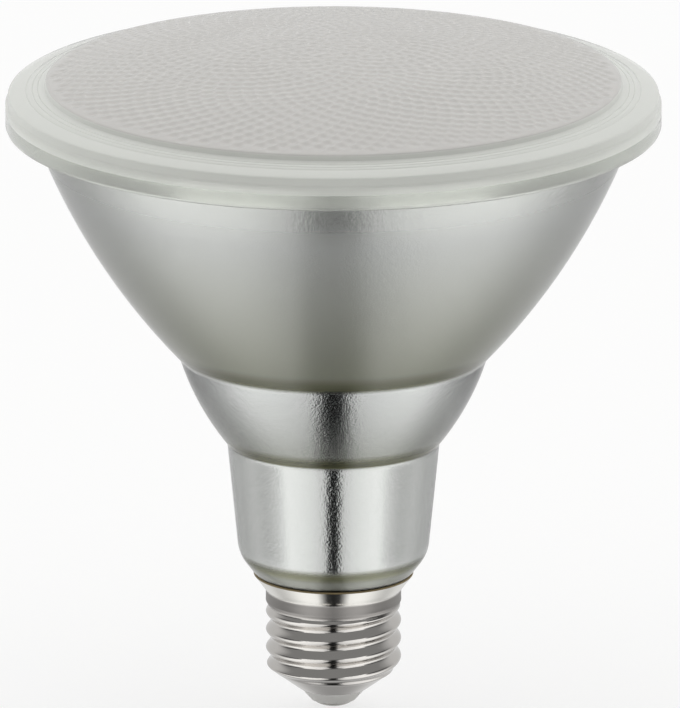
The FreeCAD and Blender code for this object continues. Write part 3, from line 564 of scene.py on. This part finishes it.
# Give the flange and the skirt their own glass
def glazeRim(piece):
    piece.data.materials.append(makeLensGlass("skirtGlass", skirtFinish))
    piece.data.materials.append(makeLensGlass("flangeGlass", flangeFinish))
    skirtIndex, flangeIndex = 1, 2
    discEnd = (lens["discRadius"] + lens["finishMargin"]) * mm
    for face in piece.data.polygons:
        if math.hypot(face.center.x, face.center.y) > discEnd:
            onFlange = face.center.z > lens["flangeFoot"] * mm
            face.material_index = flangeIndex if onFlange else skirtIndex


# The disc's edge grows along the profile and closes underneath
def makeLens():
    bm = bmesh.new()
    edges = growDisc(bm)
    spots = dimpleSpots()
    pressDisc(bm, spots)
    for radius, height in lens["profile"]:
        edges = growRing(bm, edges, radius, height)
    innerRadius, innerEdge = lens["profile"][-1]
    for ring in range(lens["innerRings"] - 1, 0, -1):
        radius = innerRadius * ring / lens["innerRings"]
        height = domeHeight(radius, innerRadius, innerEdge, lens["domeRise"])
        edges = growRing(bm, edges, radius, height)
    bmesh.ops.contextual_create(bm, geom=edges)
    piece = finishPiece(bm, "dimpledLens", makeLensGlass("lensGlass", lensFinish))
    glazeRim(piece)
    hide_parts("front_lens")
    print("lens: dimples", len(spots), "faces", len(piece.data.polygons))


makeLens()

# Nickel: plating on drawn brass, with a warm grey cast. The flare is polished, and its near-white
# colour is a painted reflection of the bright floor. The collar is rough, and its darker grey is
# painted shade. The rolled thread is a darker mirror. Each stop is a height and what holds there,
# and top is the height at the end of both ramps.
nickel = {
    # Height and colour: near white on the flare, a painted reflection, and darker grey on the collar,
    # painted shade
    "tintsWithPaintedLight": [(20.2, "#CCC9C5"), (20.9, "#989592"), (23.2, "#9A9794"), (23.7, "#F2F0EA")],
    "rough": [(20.2, 0.07), (20.9, 0.42), (23.2, 0.42), (23.7, 0.1)],
    "top": 30.0,
}


def makeNickel():
    material, tree, shader, place = newMaterial("nickelPlate", {"Metallic": 1.0})
    shadeByHeight(tree, shader, place, nickel["top"], nickel["tintsWithPaintedLight"], nickel["rough"])
    return material


# Plain finishes of the nose, the glue and the pieces inside. Each has the CAD nodes that it paints,
# its base colour, a second colour that it drifts to, roughness, how metallic it is, and the size and
# depth of its grain.
plainFinishes = {
    # Silicone glue, squeezed and cured: cream and cloudy, with a soft shine
    "curedGlue": (("lens_adhesive",), "#E6DDB4", "#F1EEDC", 0.5, 0, 2.0, 0.05),
    # Phenolic cement, baked in the cap: tan and matt, with sandy grains
    "cappingCement": (("cap_cement",), "#C9BC98", "#B5A682", 0.9, 0, 0.4, 0.03),
    # Moulded urea plastic: off-white and dry, with no shine
    "insulatorPlastic": (("cap_insulator",), "#E4E3E1", "#DDDCDA", 0.75, 0, 0.6, 0.006),
    # Nickel-plated brass, riveted: a dull silver button
    "platedContact": (("centre_contact",), "#C2C0BB", "#B2AFA8", 0.25, 1, 0.8, 0.004),
    # Stamped aluminium sheet: a soft grey sheen
    "stampedAluminium": (("heat_spreader",), "#CFCFCF", "#C2C2C2", 0.35, 1, 0.5, 0.004),
    # White solder mask on an aluminium board: bright and smooth
    "whiteBoard": (("led_board",), "#F0F0EC", "#E9E9E4", 0.35, 0, 1.0, 0.004),
    # Phosphor in silicone: deep yellow, satin
    "ledPhosphor": (("led_chips",), "#F2C84A", "#F6DC86", 0.5, 0, 0.5, 0.01),
    # Zinc-plated steel: pale grey metal
    "zincSteel": (("board_screws",), "#A9ABAD", "#989A9C", 0.3, 1, 0.4, 0.004),
    # Moulded nylon: warm white with a soft gloss
    "whiteNylon": (("board_connector",), "#F1F0EB", "#E6E4DC", 0.35, 0, 0.5, 0.006),
    # Moulded polyester: milky white, satin
    "sleevePolyester": (("driver_sleeve",), "#E9E8E2", "#DFDED8", 0.5, 0, 0.6, 0.008),
    # Glass-fibre laminate under green solder mask: dark and glossy
    "boardLaminate": (("driver_board",), "#2C6B3C", "#255C34", 0.35, 0, 0.8, 0.006),
    # Shrunk plastic sleeve: near black and glossy
    "canSleeve": (("bulk_capacitor", "output_capacitor"), "#23252B", "#2D3038", 0.25, 0, 0.8, 0.004),
    # Sintered ferrite: dark grey and dry, with fine pits
    "sinteredFerrite": (("transformer_core", "line_choke"), "#34353A", "#2B2C30", 0.7, 0, 0.3, 0.015),
    # Polyester tape round a coil: amber and glossy
    "coilTape": (("transformer_winding",), "#E3B840", "#D8A92C", 0.3, 0, 1.2, 0.01),
    # Plastic box filled with epoxy: mustard yellow, glossy
    "filmBox": (("film_capacitor",), "#DDA92B", "#CF9B20", 0.3, 0, 0.8, 0.005),
    # Moulded epoxy: black with a fine matt tooth
    "blackEpoxy": (("bridge_rectifier", "driver_chip"), "#1D1D1E", "#252526", 0.55, 0, 0.2, 0.005),
    # Lacquer on a ceramic rod: green, satin
    "resistorLacquer": (("fuse_resistor",), "#5E9A7C", "#548C70", 0.4, 0, 0.6, 0.01),
    # Epoxy that was dipped: deep blue, wet-looking
    "dippedEpoxy": (("varistor",), "#24489A", "#1E3D86", 0.2, 0, 1.0, 0.01),
    # Extruded vinyl on the wires, in three colours: smooth, with a low gloss
    "redInsulation": (("live_wire",), "#B5322B", "#A52A24", 0.4, 0, 0.6, 0.004),
    "whiteInsulation": (("neutral_wire",), "#EDECE7", "#E2E0DA", 0.4, 0, 0.6, 0.004),
    "darkInsulation": (("output_wires",), "#37373A", "#2F2F32", 0.4, 0, 0.6, 0.004),
}


def makePlainFinish(name, finish):
    colour, drift, roughness, metallic, grainSize, grainDepth = finish
    material, tree, shader, place = newMaterial(name, {"Roughness": roughness, "Metallic": metallic})
    grain, _ = addGrain(tree, shader, place, grainSize, grainDepth, 3.0)
    mixed = addNode(tree, "ShaderNodeMix", {"data_type": "RGBA", 6: srgb(colour), 7: srgb(drift)},
                    {0: grain.outputs["Fac"]})
    tree.links.new(mixed.outputs[2], shader.inputs["Base Color"])
    return material


paint("screw_shell", makeNickel())
for name, (nodeNames, *finish) in plainFinishes.items():
    material = makePlainFinish(name, finish)
    for nodeName in nodeNames:
        paint(nodeName, material)
print("plain finishes ready:", len(plainFinishes))

# Cement bead: a thin matt line where brown cement was pressed out between the flare's lip and the
# glass. Its section is a small wedge of (radius, height) points, and its finish is written in the
# order of a plain finish.
cementBead = {
    "section": [(15.07, 26.61), (15.31, 26.92), (15.4, 26.86), (15.44, 26.61)],
    "segments": 160,
    "finish": ("#93835F", "#7B6C4C", 0.8, 0, 0.5, 0.02),
}


def makeCementBead():
    bm = bmesh.new()
    spinLoop(bm, [Vector(point) for point in cementBead["section"]], cementBead["segments"])
    material = makePlainFinish("curedCementEdge", cementBead["finish"])
    piece = finishPiece(bm, "cementBead", material)
    print("cement bead: faces", len(piece.data.polygons))


makeCementBead()
